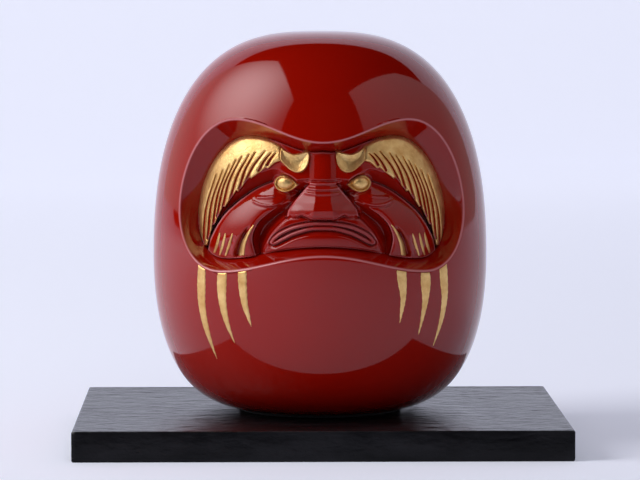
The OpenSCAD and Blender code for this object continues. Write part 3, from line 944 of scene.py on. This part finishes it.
def makeBoard():
    p = boardPiece
    size = (boardHigh - boardLow) / mm
    bm = bmesh.new()
    bmesh.ops.create_grid(bm, x_segments=p["steps"], y_segments=p["steps"], size=0.5)
    at = coords(bm)
    draw = np.random.default_rng(p["seed"])
    x, y = at[:, 0] * (size.x - 2 * p["bevel"]), at[:, 1] * (size.y - 2 * p["bevel"])
    grain = np.zeros(len(at))
    for _ in range(26):
        pitch = draw.uniform(2.5, 9)
        phase, wander, long = draw.uniform(0, 6.28), draw.uniform(0.8, 3), draw.uniform(8, 32)
        grain += np.sin((y + wander * np.sin(x / long * 6.28 + phase)) / pitch * 6.28 + phase) \
            * (0.5 + 0.5 * np.sin(x / long * 4 + y / 23 + phase))
    edge = np.minimum(size.x / 2 - p["bevel"] - np.abs(x), size.y / 2 - p["bevel"] - np.abs(y))
    sunkGrain = p["relief"] * (grain / 12 - 1) * smoothStep(0, 1.2, edge)
    moveTo(bm, np.column_stack([x, y, np.minimum(sunkGrain, 0)]))
    border = [e for e in bm.edges if e.is_boundary]
    for grow, drop in ((0.3, 0.08), (0.7, 0.3), (1, 1), (1, None), (0.3, -1)):
        verts, border = extrudeRing(bm, border)
        for v in verts:
            span = Vector((size.x / 2, size.y / 2)) - Vector((p["bevel"], p["bevel"])) * (1 - grow)
            v.co.x = math.copysign(span.x, v.co.x) if abs(v.co.x) > span.x - p["bevel"] * 1.01 else v.co.x
            v.co.y = math.copysign(span.y, v.co.y) if abs(v.co.y) > span.y - p["bevel"] * 1.01 else v.co.y
            v.co.z = {None: p["bevel"] - size.z, -1: -size.z}.get(drop, -p["bevel"] * drop if drop else 0)
    bmesh.ops.contextual_create(bm, geom=border)
    bmesh.ops.recalc_face_normals(bm, faces=bm.faces)
    piece = newPiece("displayBoard", bm, "board", ["display_board"], blackWood)
    markRelief(piece, placesOf(piece)[:, 2] > -0.4, "waxed")
    return piece


makeBoard()
print("board made")

# Stage, lights and camera
room = dict(floor=(0.78, 0.79, 0.88), bend=0.7, depth=1.6, height=2.6, half=3.0, glow=(0.05, 0.42))


def makeStage():
    # a sweep: the floor runs up into the back in one curve
    p = room
    arc = [(p["depth"] + p["bend"] * math.sin(a), p["bend"] * (1 - math.cos(a)))
           for a in np.linspace(0, math.pi / 2, 25)]
    line = [(-2.4, 0.0), (-0.6, 0.0), (0.2, 0.0)] + arc + [(arc[-1][0], p["height"])]
    bm = bmesh.new()
    left = [bm.verts.new((-p["half"], y, z)) for y, z in line]
    edges = [bm.edges.new(pair) for pair in zip(left[:-1], left[1:])]
    verts = extrudeRing(bm, edges)[0]
    for v in verts:
        v.co.x = p["half"]
    if sum(f.normal.z for f in bm.faces) < 0:
        bmesh.ops.reverse_faces(bm, faces=bm.faces)
    bm.normal_update()
    mesh = bpy.data.meshes.new("sweep")
    bm.to_mesh(mesh)
    bm.free()
    for face in mesh.polygons:
        face.use_smooth = True
    piece = bpy.data.objects.new("sweep", mesh)
    bpy.context.scene.collection.objects.link(piece)
    finish = Finish("sweep")
    cloud = finish.noise(3, 2)
    place = finish.node("ShaderNodeSeparateXYZ",
                        inputs={0: finish.node("ShaderNodeTexCoord", output=3)}, output=1)
    glow = finish.node("ShaderNodeMapRange", inputs={
        "Value": place, "From Min": -0.7, "From Max": 1.3, "To Min": p["glow"][0], "To Max": p["glow"][1]})
    finish.shade(Base_Color=finish.mix(cloud * 0.06, p["floor"], (0.74, 0.76, 0.88)), Roughness=0.95,
                 Specular_IOR_Level=0.1, Emission_Strength=1.0,
                 Emission_Color=finish.mix(glow, (0.0, 0.0, 0.0), (0.86, 0.88, 1.0)))
    mesh.materials.append(finish.material)


makeStage()


def glowPanel(name, corners, colour, centre, reach, low, high):
    # a soft box seen only in the lacquer, brightest round its centre
    bm = bmesh.new()
    bm.faces.new([bm.verts.new(c) for c in corners])
    mesh = bpy.data.meshes.new(name)
    bm.to_mesh(mesh)
    bm.free()
    piece = bpy.data.objects.new(name, mesh)
    bpy.context.scene.collection.objects.link(piece)
    finish = Finish(name)
    at = finish.node("ShaderNodeTexCoord", output=3)
    gap = finish.node("ShaderNodeVectorMath", {"operation": "DISTANCE"}, {0: at, 1: centre}, output=1)
    share = finish.node("ShaderNodeMapRange", {"interpolation_type": "SMOOTHSTEP"}, {
        "Value": gap, "From Min": 0.0, "From Max": reach, "To Min": 0.0, "To Max": 1.0})
    glow = finish.mix(share, tuple(c * high for c in colour), tuple(c * low for c in colour))
    finish.shade(Base_Color=(0.0, 0.0, 0.0), Roughness=1.0, Specular_IOR_Level=0.0, Emission_Color=glow,
                 Emission_Strength=1.0)
    mesh.materials.append(finish.material)
    piece.visible_camera = False
    piece.visible_diffuse = False
    piece.visible_shadow = False


glowPanel("leftPanel", [(-0.47, -0.77, 1.39), (-0.45, 0.4, 1.41), (-1.6, 2.1, 0.1), (-1.6, -2.1, 0.1)],
          (1.0, 0.98, 1.0), (-0.8, -0.08, 1.0), 0.95, 0.6, 5.7)
glowPanel("rightPanel", [(0.38, -0.51, 1.22), (0.7, 0.34, 1.02), (1.91, 2.2, 0.02), (1.34, -1.9, 0.02)],
          (1.0, 0.97, 1.0), (0.5, -0.2, 1.15), 1.2, 0.34, 0.76)


def softLight(name, at, size, power, colour=(1, 1, 1)):
    light = bpy.data.lights.new(name, "AREA")
    light.size = size
    light.energy = power
    light.color = colour
    lamp = bpy.data.objects.new(name, light)
    bpy.context.scene.collection.objects.link(lamp)
    lamp.location = at
    lamp.rotation_euler = (Vector((0, 0, 0.06)) - Vector(at)).to_track_quat("-Z", "Y").to_euler()
    lamp.visible_glossy = False


softLight("keyLight", (-1.4, -0.4, 0.75), 0.9, 22.5)
softLight("fillLight", (0.3, -1.3, 1.3), 0.9, 3)
world = bpy.data.worlds.new("room")
world.use_nodes = True
world.node_tree.nodes["Background"].inputs[0].default_value = (0.86, 0.88, 1.0, 1)
world.node_tree.nodes["Background"].inputs[1].default_value = 0.34
world.cycles_visibility.glossy = False
bpy.context.scene.world = world
bpy.context.scene.view_settings.view_transform = "Standard"

shot = dict(away=1.074, height=boardTop + 0.1349, azimuth=-1.1, pitch=4.375, lens=193.95)
camera = bpy.data.cameras.new("camera")
camera.lens = shot["lens"]
camera.sensor_width = 36
camera.clip_start = 0.05
viewer = bpy.data.objects.new("camera", camera)
bpy.context.scene.collection.objects.link(viewer)
turn = math.radians(shot["azimuth"])
viewer.location = (shot["away"] * math.sin(turn), -shot["away"] * math.cos(turn), shot["height"])
viewer.rotation_euler = (math.radians(90 - shot["pitch"]), 0, turn)
bpy.context.scene.camera = viewer
